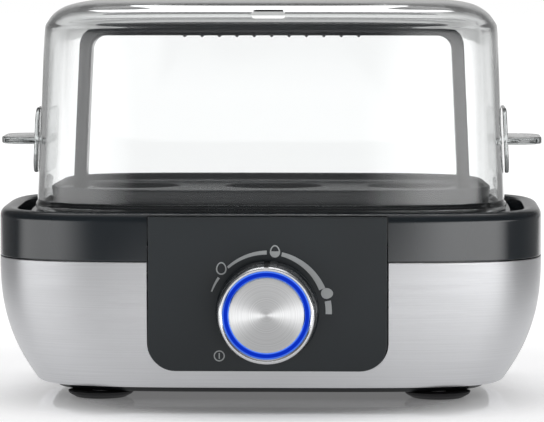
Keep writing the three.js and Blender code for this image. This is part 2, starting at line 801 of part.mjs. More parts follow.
// The side plate follows the lid's leaning wall, and the finger tab stands out of it.
function lidHandle(side) {
  const plateShape = new THREE.Shape();
  const [halfY, halfZ, r] = [TAB.depth / 2, TAB.plateHeight / 2, 6];
  plateShape.moveTo(-halfY + r, -halfZ);
  plateShape.absarc(halfY - r, -halfZ + r, r, -Math.PI / 2, 0, false);
  plateShape.absarc(halfY - r, halfZ - r, r, 0, Math.PI / 2, false);
  plateShape.absarc(-halfY + r, halfZ - r, r, Math.PI / 2, Math.PI, false);
  plateShape.absarc(-halfY + r, -halfZ + r, r, Math.PI, 1.5 * Math.PI, false);
  const plate = new THREE.ExtrudeGeometry(plateShape, {
    depth: TAB.plateThickness,
    bevelEnabled: false,
    curveSegments: 5,
  });
  const lean = THREE.MathUtils.degToRad(2.5);
  plate.rotateZ(Math.PI / 2).rotateY(Math.PI / 2).rotateY(-lean);
  plate.translate(84.35, 0, TAB.z);
  const tabShape = new THREE.Shape();
  const [root, corner] = [85.5, 9];
  tabShape.moveTo(root, -halfY);
  tabShape.absarc(TAB.tip - corner, -halfY + corner, corner, -Math.PI / 2, 0, false);
  tabShape.absarc(TAB.tip - corner, halfY - corner, corner, 0, Math.PI / 2, false);
  tabShape.lineTo(root, halfY);
  const tab = new THREE.ExtrudeGeometry(tabShape, {
    depth: TAB.thickness,
    bevelEnabled: false,
    curveSegments: 6,
  });
  tab.translate(0, 0, TAB.z - TAB.thickness / 2);
  const handle = join(plate, tab);
  return side < 0 ? handle.rotateZ(Math.PI) : handle;
}

add("lid_handle_left", lidHandle(-1), clear);
add("lid_handle_right", lidHandle(1), clear);

// The knob stands out further than the back does, so the body sits behind the middle of its box.
const extent = new THREE.Box3().setFromObject(body);
body.position.y = -(extent.min.y + extent.max.y) / 2;

export default eggCooker;
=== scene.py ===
import json
import math

import bmesh
import bpy
from mathutils import Matrix, Vector


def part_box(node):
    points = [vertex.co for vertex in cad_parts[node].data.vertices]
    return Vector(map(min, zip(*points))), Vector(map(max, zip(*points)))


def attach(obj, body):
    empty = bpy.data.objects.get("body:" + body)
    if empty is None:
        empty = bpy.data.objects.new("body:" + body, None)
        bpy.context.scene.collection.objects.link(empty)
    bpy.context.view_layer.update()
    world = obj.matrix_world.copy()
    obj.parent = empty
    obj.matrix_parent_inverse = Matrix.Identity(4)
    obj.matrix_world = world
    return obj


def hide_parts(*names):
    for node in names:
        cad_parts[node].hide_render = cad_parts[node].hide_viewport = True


# The looks of a six-egg cooker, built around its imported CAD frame. Shapes are written in
# millimetres about the body's own middle, front towards -Y, and become metres in new_piece().
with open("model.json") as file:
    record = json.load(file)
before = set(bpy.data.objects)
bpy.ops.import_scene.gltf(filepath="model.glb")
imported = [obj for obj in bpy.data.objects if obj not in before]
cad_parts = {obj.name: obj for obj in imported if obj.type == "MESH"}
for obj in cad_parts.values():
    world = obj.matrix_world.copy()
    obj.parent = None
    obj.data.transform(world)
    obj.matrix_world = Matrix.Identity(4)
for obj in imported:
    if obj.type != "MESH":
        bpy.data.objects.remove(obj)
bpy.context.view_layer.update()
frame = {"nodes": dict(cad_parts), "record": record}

MM = 0.001


# ---------------------------------------------------------------- sizes, from the frame
def corners_mm(node):
    """A CAD node's lowest and highest corners, in millimetres."""
    low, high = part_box(node)
    return low / MM, high / MM


pan_low, pan_high = corners_mm("base_pan")
rim_low, rim_high = corners_mm("upper_housing")
sleeve_low, sleeve_high = corners_mm("steel_sleeve")
panel_low, panel_high = corners_mm("control_panel")
bezel_low, bezel_high = corners_mm("knob_bezel")
skirt_low, skirt_high = corners_mm("knob_skirt")
rack_low, rack_high = corners_mm("egg_rack")
handle_low, handle_high = corners_mm("rack_handle")
lid_low, lid_high = corners_mm("lid")
TAB_TIP = corners_mm("lid_handle_right")[1].x

MIDDLE_Y = (pan_low.y + pan_high.y) / 2  # the body's mid-plane in the row frame
HALF_WIDTH = round((rim_high.x - rim_low.x) / 2)
HALF_DEPTH = round((rim_high.y - rim_low.y) / 2)
BODY_POWER = 4.4  # the body's plan, between an ellipse (2) and a rectangle
LID_POWER = 4.0
SIDES = 192  # points round the large outlines
ROUND = 96  # points round a turned piece

SLEEVE_BOTTOM, SLEEVE_TOP = sleeve_low.z, sleeve_high.z
SLEEVE_INSET, SLEEVE_CURVE, FRONT_SHARE = 14, 2.5, 0.45
STEEL_THICKNESS = 1.0
GAP = 0.3  # between neighbouring pieces
EDGE_ANGLE = 32  # degrees between two faces, from which their edge stays sharp

RIM_TOP = rim_high.z
GROOVE_Z, LEDGE_Z, STEP_Z, DECK_Z = RIM_TOP - 8, RIM_TOP - 1.5, RIM_TOP - 5.1, RIM_TOP - 10.5

PANEL_HALF_WIDTH = panel_high.x
PANEL_RADIUS = 9.6
PANEL_FRONT = panel_low.y - MIDDLE_Y
PANEL_THICKNESS = 2.0

KNOB_Z = (bezel_low.z + bezel_high.z) / 2
KNOB_FRONT = bezel_low.y - MIDDLE_Y
KNOB_RADIUS = (bezel_high.x - bezel_low.x) / 2
SKIRT_RADIUS = (skirt_high.x - skirt_low.x) / 2
SKIRT_FRONT = skirt_low.y - MIDDLE_Y
LIGHT_INNER, LIGHT_OUTER = 13.5, 15.1

RACK_TOP = rack_high.z
RACK_FLOOR = RACK_TOP - 3
RACK_HALF_WIDTH, RACK_HALF_DEPTH = 80, 50.2
EGG_PITCH = (53, 48)
SEAT_RADIUS = 18.3

LID_BOTTOM, LID_TOP = lid_low.z, lid_high.z
LID_WALL = 2.0


# ---------------------------------------------------------------- outlines and profiles
def plan(power, half_width=HALF_WIDTH, half_depth=HALF_DEPTH, sides=SIDES):
    """Points round a unit superellipse, spaced evenly along one of the given size."""
    fine = 4000
    walk = []
    for i in range(fine + 1):
        c, s = math.cos(2 * math.pi * i / fine), math.sin(2 * math.pi * i / fine)
        x = math.copysign(abs(c) ** (2 / power), c)
        y = math.copysign(abs(s) ** (2 / power), s)
        walk.append((x, y))
    along = [0.0]
    for (ax, ay), (bx, by) in zip(walk, walk[1:]):
        along.append(along[-1] + math.hypot((bx - ax) * half_width, (by - ay) * half_depth))
    points, k = [], 0
    for i in range(sides):
        goal = along[-1] * i / sides
        while along[k + 1] < goal:
            k += 1
        t = (goal - along[k]) / (along[k + 1] - along[k])
        (ax, ay), (bx, by) = walk[k], walk[k + 1]
        points.append((ax + (bx - ax) * t, ay + (by - ay) * t))
    return points


BODY_PLAN = plan(BODY_POWER)
LID_PLAN = plan(LID_POWER)


def soften(profile, radius, closed=False, steps=4, size=3):
    """Rounds a profile's corners. Each point has size values that place it, and may have one
    more, the corner's own radius."""
    points = [(Vector(p[:size]), p[size] if len(p) > size else radius) for p in profile]
    count = len(points)
    out = []
    for i, (at, r) in enumerate(points):
        if r <= 0 or (not closed and i in (0, count - 1)):
            out.append(tuple(at))
            continue
        before, after = points[i - 1][0] - at, points[(i + 1) % count][0] - at
        reach_in, reach_out = min(r, 0.45 * before.length), min(r, 0.45 * after.length)
        start = at + before.normalized() * reach_in
        end = at + after.normalized() * reach_out
        for k in range(steps + 1):
            t = k / steps
            out.append(tuple(start.lerp(at, t).lerp(at.lerp(end, t), t)))
    return out


def smooth_through(points, steps=5):
    """A Catmull-Rom curve through the points, ends included."""
    knots = [Vector(p) for p in points]
    knots = [2 * knots[0] - knots[1], *knots, 2 * knots[-1] - knots[-2]]
    out = []
    for a, b, c, d in zip(knots, knots[1:], knots[2:], knots[3:]):
        for k in range(steps):
            t = k / steps
            out.append(tuple(
                0.5 * (2 * b + (c - a) * t + (2 * a - 5 * b + 4 * c - d) * t * t
                       + (3 * b - a - 3 * c + d) * t ** 3)))
    out.append(tuple(knots[-2]))
    return out


def arc(cx, cy, radius, start, end, steps=12):
    """Points on a circle, with angles in degrees."""
    turn = [math.radians(start + (end - start) * k / steps) for k in range(steps + 1)]
    return [(cx + radius * math.cos(a), cy + radius * math.sin(a)) for a in turn]


def rounded_rectangle(half_width, low, high, radius, top_radius=0):
    """Counterclockwise outline with round lower corners, and upper ones if asked."""
    outline = arc(-half_width + radius, low + radius, radius, 180, 270)
    outline += arc(half_width - radius, low + radius, radius, 270, 360)
    if top_radius:
        outline += arc(half_width - top_radius, high - top_radius, top_radius, 0, 90)
        outline += arc(-half_width + top_radius, high - top_radius, top_radius, 90, 180)
    else:
        outline += [(half_width, high), (-half_width, high)]
    return outline


# ---------------------------------------------------------------- meshes
def new_piece(name, verts, faces, origin=(0, 0, 0)):
    """A mesh object from millimetre points about the body's middle. origin is where its own
    centre sits, in the same millimetres."""
    mesh = bpy.data.meshes.new(name)
    mesh.from_pydata([(Vector(v) - Vector(origin)) * MM for v in verts], [], faces)
    piece = bpy.data.objects.new(name, mesh)
    bpy.context.scene.collection.objects.link(piece)
    piece.location = (Vector(origin) + Vector((0, MIDDLE_Y, 0))) * MM
    work = bmesh.new()
    work.from_mesh(mesh)
    bmesh.ops.recalc_face_normals(work, faces=work.faces)
    work.to_mesh(mesh)
    work.free()
    return piece


def loft(name, levels, outline, ring=False):
    """A closed body through outlines of [half width, half depth, z]. As a ring the last joins the
    first. Otherwise both ends are capped round a middle point."""
    sides = len(outline)
    verts = [(w * x, d * y, z) for w, d, z in levels for x, y in outline]
    faces = []
    spans = len(levels) if ring else len(levels) - 1
    for k in range(spans):
        low, high = k * sides, ((k + 1) % len(levels)) * sides
        for i in range(sides):
            j = (i + 1) % sides
            faces.append((low + i, low + j, high + j, high + i))
    if not ring:
        for k, level in ((0, levels[0]), (len(levels) - 1, levels[-1])):
            verts.append((0, 0, level[2]))
            faces += [(k * sides + i, k * sides + (i + 1) % sides, len(verts) - 1)
                      for i in range(sides)]
    return new_piece(name, verts, faces)


def turned(name, profile, axis="Y", origin=(0, 0, 0), sides=ROUND):
    """A body turned about an axis through origin, from [radius, height along the axis]. A profile
    that starts on the axis ends on it. Any other closes on itself."""
    on_axis = profile[0][0] == 0
    verts, faces, rows = [], [], []
    for radius, height in profile:
        row = []
        for i in range(1 if radius == 0 else sides):
            angle = 2 * math.pi * i / sides
            across, up = radius * math.cos(angle), radius * math.sin(angle)
            spot = (across, height, up) if axis == "Y" else (across, up, height)
            row.append(len(verts))
            verts.append(Vector(spot) + Vector(origin))
        rows.append(row)
    pairs = list(zip(rows, rows[1:])) + ([] if on_axis else [(rows[-1], rows[0])])
    for low, high in pairs:
        for i in range(sides):
            j = (i + 1) % sides
            face = [low[i % len(low)], low[j % len(low)], high[j % len(high)], high[i % len(high)]]
            faces.append(tuple(dict.fromkeys(face)))
    return new_piece(name, verts, faces, origin)


def turned_ring(name, profile, *how):
    """A turned ring whose profile gives each corner its own radius."""
    return turned(name, soften(profile, 0, closed=True, size=2), *how)


def peg(name, radius, start, end, *how):
    """A plain cylinder along an axis, mostly used to cut a hole."""
    return turned(name, [(0, start), (radius, start), (radius, end), (0, end)], *how)


def bevel(piece, edge, steps, chosen, clamp):
    """Rounds the chosen edges of a piece by edge millimetres, if that is more than 0."""
    if edge:
        work = bmesh.new()
        work.from_mesh(piece.data)
        bmesh.ops.bevel(work, geom=[rim for rim in work.edges if chosen(rim)], offset=edge * MM,
                        segments=steps, profile=0.5, affect="EDGES", clamp_overlap=clamp)
        work.to_mesh(piece.data)
        work.free()
    return piece


def plate(name, outline, low, high, normal="Y", edge=0.0, steps=3):
    """An outline extruded along an axis, with its edges at both faces rounded by edge."""
    def place(a, b, h):
        return {"X": (h, a, b), "Y": (a, h, b), "Z": (a, b, h)}[normal]

    count = len(outline)
    verts = [place(a, b, h) for h in (low, high) for a, b in outline]
    faces = [tuple(range(count)), tuple(range(count, 2 * count))]
    faces += [(i, (i + 1) % count, count + (i + 1) % count, count + i) for i in range(count)]
    piece = new_piece(name, verts, faces)

    def on_a_face(rim):
        return any(len(face.verts) == count and count > 4 for face in rim.link_faces)

    return bevel(piece, edge, steps, on_a_face, True)


def block(name, size, middle, edge=0.4):
    """A box with rounded edges."""
    w, d, h = (value / 2 for value in size)
    verts = [(x * w + middle[0], y * d + middle[1], z * h + middle[2])
             for x in (-1, 1) for y in (-1, 1) for z in (-1, 1)]
    faces = [(0, 1, 3, 2), (4, 6, 7, 5), (0, 4, 5, 1), (2, 3, 7, 6), (0, 2, 6, 4), (1, 5, 7, 3)]
    return bevel(new_piece(name, verts, faces), edge, 2, lambda rim: True, False)


def settle(piece):
    """Applies a piece's modifiers to its mesh."""
    graph = bpy.context.evaluated_depsgraph_get()
    made = bpy.data.meshes.new_from_object(piece.evaluated_get(graph))
    old, piece.data = piece.data, made
    piece.modifiers.clear()
    bpy.data.meshes.remove(old)
    return piece


def combine(piece, tools, operation):
    """Cuts or joins tools to a piece, and removes them."""
    for tool in tools:
        cut = piece.modifiers.new("cut", "BOOLEAN")
        cut.operation, cut.solver, cut.object = operation, "EXACT", tool
    settle(piece)
    for tool in tools:
        mesh = tool.data
        bpy.data.objects.remove(tool)
        bpy.data.meshes.remove(mesh)
    return piece


def carve(piece, *tools):
    return combine(piece, tools, "DIFFERENCE")


def join(piece, *others):
    return combine(piece, others, "UNION")


def shade(piece, angle):
    """Smooth faces with true edges kept, and flat faces kept flat beside small roundings."""
    piece.data.polygons.foreach_set("use_smooth", [True] * len(piece.data.polygons))
    piece.data.set_sharp_from_angle(angle=math.radians(angle))
    weigh = piece.modifiers.new("normals", "WEIGHTED_NORMAL")
    weigh.keep_sharp = True
    weigh.weight = 50
    return settle(piece)


# ---------------------------------------------------------------- materials
def feed(tree, node, inputs):
    """Sets a node's inputs. Each is a plain value or another node's output."""
    for key, value in inputs.items():
        if isinstance(value, bpy.types.NodeSocket):
            tree.links.new(value, node.inputs[key])
        else:
            node.inputs[key].default_value = value
    return node


def add_node(tree, kind, inputs=None, **settings):
    """A new shader node. Its settings come first, because they decide which sockets it has."""
    node = tree.nodes.new("ShaderNode" + kind)
    for key, value in settings.items():
        setattr(node, key, value)
    return feed(tree, node, inputs or {})


def start_material(name, inputs):
    """A material with those inputs set on its Principled shader."""
    material = bpy.data.materials.new(name)
    material.use_nodes = True
    tree = material.node_tree
    return material, tree, feed(tree, tree.nodes["Principled BSDF"], inputs)


def own_space(tree):
    """Where a point is in its piece's own space, in metres."""
    return add_node(tree, "TexCoord").outputs["Object"]


def from_own_axis(tree, axis):
    """How far a point is from its piece's own axis, in metres."""
    kept = (1, 0, 1) if axis == "Y" else (1, 1, 0)
    flat = add_node(tree, "VectorMath", {0: own_space(tree), 1: kept}, operation="MULTIPLY")
    radius = add_node(tree, "VectorMath", {0: flat.outputs["Vector"]}, operation="LENGTH")
    return radius.outputs["Value"]


def stretched_noise(tree, scale, detail=3.0):
    """Noise in the piece's own space, with scale in cycles per metre along X, Y and Z."""
    stretch = add_node(tree, "Mapping", {"Vector": own_space(tree), "Scale": scale})
    grain = add_node(tree, "TexNoise", {"Vector": stretch.outputs["Vector"], "Scale": 1.0,
                                        "Detail": detail, "Roughness": 0.6})
    return grain.outputs["Fac"]


def spread(tree, noise, low=0, high=1):
    """Maps noise, which stays near its middle, to a range."""
    ranger = add_node(tree, "MapRange", {"Value": noise, "From Min": 0.3, "From Max": 0.7,
                                         "To Min": low, "To Max": high})
    return ranger.outputs["Result"]


def tint(tree, value, colour, amount):
    """The colour, from darker to lighter by that share as value goes from 0 to 1."""
    dark, light = ([channel * (1 + side * amount) for channel in colour] for side in (-1, 1))
    mixer = add_node(tree, "Mix", {"Factor": value, "A": (*dark, 1), "B": (*light, 1)},
                     data_type="RGBA")
    return mixer.outputs["Result"]


def add_bump(tree, shader, height, depth, strength):
    """Roughens a surface, by a depth in millimetres."""
    bump = add_node(tree, "Bump", {"Height": height, "Distance": depth * MM,
                                   "Strength": strength})
    feed(tree, shader, {"Normal": bump.outputs["Normal"]})


def make_metal(tree, shader, axis, anisotropy):
    """Metal whose highlights are drawn out by scratches that run round an axis."""
    tangent = add_node(tree, "Tangent", direction_type="RADIAL", axis=axis)
    feed(tree, shader, {"Metallic": 1.0, "Anisotropic": anisotropy,
                        "Anisotropic Rotation": 0.25, "Tangent": tangent.outputs["Tangent"]})


def brushed_metal(name, colour, roughness, scale, axis, variation=0.06, anisotropy=0.75):
    """Metal with long scratches round an axis."""
    material, tree, shader = start_material(name, {})
    make_metal(tree, shader, axis, anisotropy)
    streaks = spread(tree, stretched_noise(tree, scale))
    feed(tree, shader, {
        "Base Color": tint(tree, streaks, colour, variation),
        "Roughness": spread(tree, streaks, roughness - 0.04, roughness + 0.04)})
    add_bump(tree, shader, streaks, 0.004, 0.5)
    return material


def spun_metal(name, colour, roughness, axis="Y", variation=0.08):
    """Metal with fine rings about the piece's own axis."""
    material, tree, shader = start_material(name, {"Roughness": roughness})
    make_metal(tree, shader, axis, 0.9)
    rings = add_node(tree, "TexNoise", {"W": from_own_axis(tree, axis), "Scale": 2600,
                                        "Detail": 2.0}, noise_dimensions="1D")
    lines = spread(tree, rings.outputs["Fac"])
    feed(tree, shader, {"Base Color": tint(tree, lines, colour, variation)})
    add_bump(tree, shader, lines, 0.003, 0.4)
    return material


def moulded(name, colour, roughness, grain, depth, specular=0.5, metallic=0.0, vary=0.05):
    """Moulded plastic, rubber or cast metal. Its speckle has that grain and depth in
    millimetres, and its roughness varies by vary to each side."""
    material, tree, shader = start_material(name, {"Metallic": metallic,
                                                   "Specular IOR Level": specular})
    speckle = stretched_noise(tree, [1 / (grain * MM)] * 3, 2.0)
    cloud = spread(tree, stretched_noise(tree, [28] * 3, 2.0))
    feed(tree, shader, {"Base Color": tint(tree, cloud, colour, 0.12),
                        "Roughness": spread(tree, speckle, roughness - vary, roughness + vary)})
    if depth:
        add_bump(tree, shader, speckle, depth, 0.6)
    return material


def clear_plastic(name):
    """Clear moulded plastic, faintly grey through its depth and faintly uneven."""
    material, tree, shader = start_material(name, {
        "Base Color": (0.995, 1.0, 1.0, 1), "Transmission Weight": 1.0, "Roughness": 0.02,
        "IOR": 1.49})
    add_bump(tree, shader, stretched_noise(tree, [14, 14, 9], 1.0), 0.02, 0.25)
    tinge = add_node(tree, "VolumeAbsorption", {"Color": (0.46, 0.51, 0.51, 1), "Density": 22})
    feed(tree, tree.nodes["Material Output"], {"Volume": tinge.outputs["Volume"]})
    return material


def lit_plastic(name, inner, outer):
    """The glowing ring: deep blue, paler along both of its edges."""
    deep, pale = (0.0, 0.022, 0.47, 1), (0.08, 0.22, 0.9, 1)
    material, tree, shader = start_material(name, {
        "Base Color": (0.0, 0.004, 0.05, 1), "Roughness": 0.5, "Specular IOR Level": 0.05,
        "Emission Strength": 1.0})
    across = add_node(tree, "MapRange", {"Value": from_own_axis(tree, "Y"),
                                         "From Min": inner * MM, "From Max": outer * MM})
    ramp = add_node(tree, "ValToRGB", {"Fac": across.outputs["Result"]})
    for end in ramp.color_ramp.elements:
        end.color = pale
    for position in (0.14, 0.86):
        ramp.color_ramp.elements.new(position).color = deep
    feed(tree, shader, {"Emission Color": ramp.outputs["Color"]})
    return material


# Colour, roughness, grain and depth, then any of the rest that moulded() takes.
MOULDED = {
    "dark_plastic": ((0.010, 0.0135, 0.017), 0.14, 0.3, 0.0006, 0.5, 0.0, 0.02),
    "panel_plastic": ((0.0095, 0.0135, 0.0165), 0.46, 0.28, 0.006, 0.4),
    "rack_plastic": ((0.008, 0.0115, 0.0145), 0.26, 0.6, 0, 0.5, 0.0, 0.01),
    "pan_plastic": ((0.006, 0.007, 0.008), 0.5, 0.4, 0.008, 0.2),
    "foot_rubber": ((0.009, 0.009, 0.010), 0.75, 0.4, 0.01, 0.3),
    "dial_print": ((0.38, 0.395, 0.40), 0.6, 0.25, 0.002, 0.3),
    "aluminium": ((0.50, 0.50, 0.51), 0.45, 0.5, 0.006, 0.5, 1.0),
    "plated_steel": ((0.46, 0.46, 0.47), 0.34, 0.6, 0.003, 0.5, 1.0),
    "brass": ((0.55, 0.36, 0.12), 0.36, 0.6, 0.003, 0.5, 1.0),
    "silicone": ((0.25, 0.035, 0.025), 0.6, 0.5, 0.006, 0.4),
    "circuit_board": ((0.012, 0.09, 0.032), 0.42, 0.6, 0.004),
    "component_black": ((0.006, 0.006, 0.007), 0.5, 0.3, 0.004),
    "component_blue": ((0.02, 0.07, 0.27), 0.42, 0.4, 0.004),
    "component_white": ((0.66, 0.64, 0.58), 0.5, 0.4, 0.004),
    "led_lens": ((0.55, 0.65, 0.85), 0.2, 0.5, 0.001),
    "wire_blue": ((0.025, 0.11, 0.37), 0.5, 0.4, 0.004),
    "wire_brown": ((0.13, 0.055, 0.018), 0.5, 0.4, 0.004),
}
materials = {name: moulded(name, *look) for name, look in MOULDED.items()}
for name, make, *look in (
    ("brushed_steel", brushed_metal, (0.63, 0.635, 0.65), 0.42, (22, 22, 2600), "Z"),
    ("bezel", brushed_metal, (0.62, 0.625, 0.635), 0.22, (300, 300, 300), "Y", 0.02, 0.4),
    ("spun_cap", spun_metal, (0.70, 0.705, 0.71), 0.5),
    ("plate_steel", spun_metal, (0.62, 0.62, 0.61), 0.34, "Z", 0.05),
    ("clear_plastic", clear_plastic),
    ("lit_ring", lit_plastic, LIGHT_INNER, LIGHT_OUTER),
):
    materials[name] = make(name, *look)

SLOTS = {entry["node"]: entry["material_slot"] for entry in frame["record"]["subparts"]}


def finish_piece(piece, body, slot, *nodes, angle=EDGE_ANGLE):
    """Shades a piece, gives it its material, ties it to its body, and hides the CAD nodes that it
    stands for.
    """
    shade(piece, angle)
    piece.data.materials.clear()
    piece.data.materials.append(materials[slot])
    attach(piece, body)
    if nodes:
        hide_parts(*nodes)


# ---------------------------------------------------------------- camera
def make_camera():
    distance, height, azimuth, aim_z = 1500, 170, math.radians(1.5), 64
    data = bpy.data.cameras.new("camera")
    data.sensor_width, data.lens = 36, 271.3
    data.clip_start, data.clip_end = 0.05, 50
    camera = bpy.data.objects.new("camera", data)
    bpy.context.scene.collection.objects.link(camera)
    place = Vector((math.sin(azimuth) * distance, MIDDLE_Y - math.cos(azimuth) * distance, height))
    camera.location = place * MM
    aim = Vector((0, MIDDLE_Y, aim_z)) - place
    camera.rotation_euler = aim.to_track_quat("-Z", "Y").to_euler()
    bpy.context.scene.camera = camera


make_camera()


# ---------------------------------------------------------------- steel sleeve
def sleeve_inset(z):
    fall = max((SLEEVE_TOP - z) / (SLEEVE_TOP - SLEEVE_BOTTOM), 0)
    return SLEEVE_INSET * fall ** SLEEVE_CURVE


def sleeve_level(z, inward=0.0):
    inset = sleeve_inset(z)
    return (HALF_WIDTH - inset - inward, HALF_DEPTH - FRONT_SHARE * inset - inward, z)


GLAND_X, GLAND_Z, GLAND_RADIUS, GLAND_FLANGE, GLAND_BORE = -30, 24, 4.6, 6.6, 3.2


def lean_to_gland(piece):
    """Turns a piece made about the Y axis square to the sleeve's leaning back wall."""
    def wall(z):
        return HALF_DEPTH - FRONT_SHARE * sleeve_inset(z)

    lean = math.atan(wall(GLAND_Z + 0.5) - wall(GLAND_Z - 0.5))
    piece.data.transform(Matrix.Rotation(-lean, 4, "X"))
    piece.location = Vector((GLAND_X, wall(GLAND_Z) + MIDDLE_Y, GLAND_Z)) * MM
    bpy.context.view_layer.update()
    return piece


def make_sleeve():
    first, steps = 8.0, 22
    heights = [first + (SLEEVE_TOP - first) * k / steps for k in range(steps)]
    outer = [sleeve_level(z) for z in heights]
    inner = [sleeve_level(z, STEEL_THICKNESS) for z in reversed(heights)]
    inside_low = SLEEVE_BOTTOM + STEEL_THICKNESS
    levels = soften([(HALF_WIDTH - 20.4, HALF_DEPTH - 12.6, SLEEVE_BOTTOM, 0),
                     (HALF_WIDTH - 13.6, HALF_DEPTH - 7, SLEEVE_BOTTOM + 0.1, 2.2),
                     outer[0]], 0, steps=6)[:-1]
    levels += outer
    levels += soften([outer[-1], (*sleeve_level(SLEEVE_TOP), 0.35),
                      (*sleeve_level(SLEEVE_TOP, STEEL_THICKNESS), 0.35), inner[0]], 0)[1:-1]
    levels += inner
    levels += [(HALF_WIDTH - 14.4, HALF_DEPTH - 7.8, inside_low + 0.4),
               (HALF_WIDTH - 20.4, HALF_DEPTH - 12.6, inside_low)]
    sleeve = loft("steel_sleeve_shell", levels, BODY_PLAN, ring=True)
    seam = GAP + 0.2
    notch = rounded_rectangle(PANEL_HALF_WIDTH + seam, panel_low.z - seam, SLEEVE_TOP + 5,
                              PANEL_RADIUS + seam)
    cutter = plate("notch", notch, -40, -80)
    gland = lean_to_gland(peg("gland_hole", GLAND_RADIUS + GAP, -9, 9))
    carve(sleeve, cutter, gland)
    finish_piece(sleeve, "base", "brushed_steel", "steel_sleeve")


# ---------------------------------------------------------------- rim
FOOT_X, FOOT_Y = 60.3, 38.5
FEET = [("front_left", -1, -1), ("front_right", 1, -1), ("rear_left", -1, 1), ("rear_right", 1, 1)]


def make_rim():
    w, d = HALF_WIDTH, HALF_DEPTH
    under, lip = RIM_TOP - 10.2, SLEEVE_TOP - 3.5
    ring = [
        (w, d, SLEEVE_TOP + 0.4, 0.25),
        (w, d, RIM_TOP - 2.4, 1.2),
        (w - 0.9, d - 0.7, RIM_TOP - 0.8, 1.0),
        (w - 3.4, d - 2.4, RIM_TOP, 2.0),
        (w - 6.2, d - 4.4, RIM_TOP - 0.6, 0.7),
        (w - 7, d - 5.1, GROOVE_Z, 0.8),
        (w - 10.8, d - 6.1, GROOVE_Z, 0.6),
        (w - 11.1, d - 6.3, LEDGE_Z, 0.5),
        (w - 16.4, d - 9.6, LEDGE_Z, 0.5),
        (w - 16.6, d - 9.8, STEP_Z, 0.6),
        (w - 21.8, d - 14.4, STEP_Z, 0.5),
        (w - 22.2, d - 14.8, DECK_Z, 0.8),
        (w - 27, d - 19, DECK_Z, 0.4),
        (w - 27, d - 19, DECK_Z - 2.2, 0.3),
        (w - 20.2, d - 13, DECK_Z - 2.2, 0.5),
        (w - 20, d - 12.8, STEP_Z - 2.4, 0.5),
        (w - 13, d - 8, STEP_Z - 2.4, 0.5),
        (w - 12.8, d - 7.8, under, 0.5),
        (w - 2.6, d - 2.4, under, 0.5),
        (w - 2.6, d - 2.4, lip, 0.2),
        (w - 1.5, d - 1.4, lip, 0.2),
        (w - 1.5, d - 1.4, SLEEVE_TOP + 0.4, 0.1),
    ]
    rim = loft("rim_and_deck", soften(ring, 0.3, closed=True), BODY_PLAN, ring=True)
    posts = []
    post_top = DECK_Z - 1.7
    post = [(0, 9.3), (1.8, 9.3), (3.1, 9.3), (3.4, 9.7), (3.4, post_top), (0, post_top)]
    for _, sx, sy in FEET:
        posts.append(turned("post", post, "Z", (sx * FOOT_X, sy * FOOT_Y, 0), 32))
    join(rim, *posts)
    panel_top = panel_high.z + GAP
    back = 3.4 - HALF_DEPTH
    notch = rounded_rectangle(PANEL_HALF_WIDTH + GAP, panel_top - 24, panel_top, 0.01)
    carve(rim, plate("notch", notch, back, back - 12))
    finish_piece(rim, "base", "dark_plastic", "upper_housing")


# ---------------------------------------------------------------- control panel and its print
def make_panel():
    half, low, high = PANEL_HALF_WIDTH, panel_low.z, panel_high.z
    back = PANEL_FRONT + PANEL_THICKNESS
    box_back, box_top, wall = -54.4, SLEEVE_TOP - 0.6, 1.8
    face = plate("panel_face", rounded_rectangle(half, low, high, PANEL_RADIUS, 0.4),
                 back, PANEL_FRONT, edge=0.45, steps=4)
    tray = plate("tray", rounded_rectangle(half, low, box_top, PANEL_RADIUS), box_back,
                 PANEL_FRONT + 1)
    hollow = rounded_rectangle(half - wall, low + wall, box_top + 1, PANEL_RADIUS - wall)
    carve(tray, plate("hollow", hollow, box_back + 1, back))
    join(face, tray)
    middle = (0, 0, KNOB_Z)
    hole = peg("shaft_hole", 4.8, -50, -70, "Y", middle, 48)
    windows = []
    for k in range(4):
        angle = math.radians(45 + 90 * k)
        radius = (LIGHT_INNER + LIGHT_OUTER) / 2
        spot = (radius * math.sin(angle), 0, KNOB_Z + radius * math.cos(angle))
        windows.append(peg("window", 1.9, -50, -70, "Y", spot, 24))
    carve(face, hole, *windows)
    finish_piece(face, "base", "panel_plastic", "control_panel")


PRINT_DEPTH = 0.04  # how far the ink stands proud of the panel
DIAL_RADIUS = 20.9


def ink(name, outline, hole=None):
    """A flat printed mark on the panel, drawn in X and Z about the knob's axis."""
    def raised(points, extra):
        spots = [(x, z + KNOB_Z) for x, z in points]
        return plate(name, spots, PANEL_FRONT + 0.02 + extra, PANEL_FRONT - PRINT_DEPTH - extra)

    mark = raised(outline, 0)
    if hole:
        carve(mark, raised(hole, 0.2))
    return mark


def dial_spot(angle, radius):
    """A point on the dial, with the angle clockwise from the top."""
    a = math.radians(angle)
    return Vector((radius * math.sin(a), radius * math.cos(a)))


def swept_band(start, end, first_width, last_width, radius=DIAL_RADIUS, steps=24):
    outer, inner = [], []
    for k in range(steps + 1):
        t = k / steps
        angle, half = start + (end - start) * t, (first_width + (last_width - first_width) * t) / 2
        outer.append(dial_spot(angle, radius + half))
        inner.append(dial_spot(angle, radius - half))
    return [tuple(p) for p in outer + inner[::-1]]


def egg_outline(centre, width, height, inset=0.0, turn=0.0, steps=40):
    """An egg with its point up, before it is turned clockwise by turn degrees."""
    spin = Matrix.Rotation(-math.radians(turn), 2)
    points = []
    for k in range(steps):
        a = 2 * math.pi * k / steps
        taper = 1 - 0.12 * math.sin(a)
        local = Vector(((width / 2 - inset) * math.cos(a) * taper,
                        (height / 2 - inset) * math.sin(a)))
        points.append(tuple(spin @ local + centre))
    return points


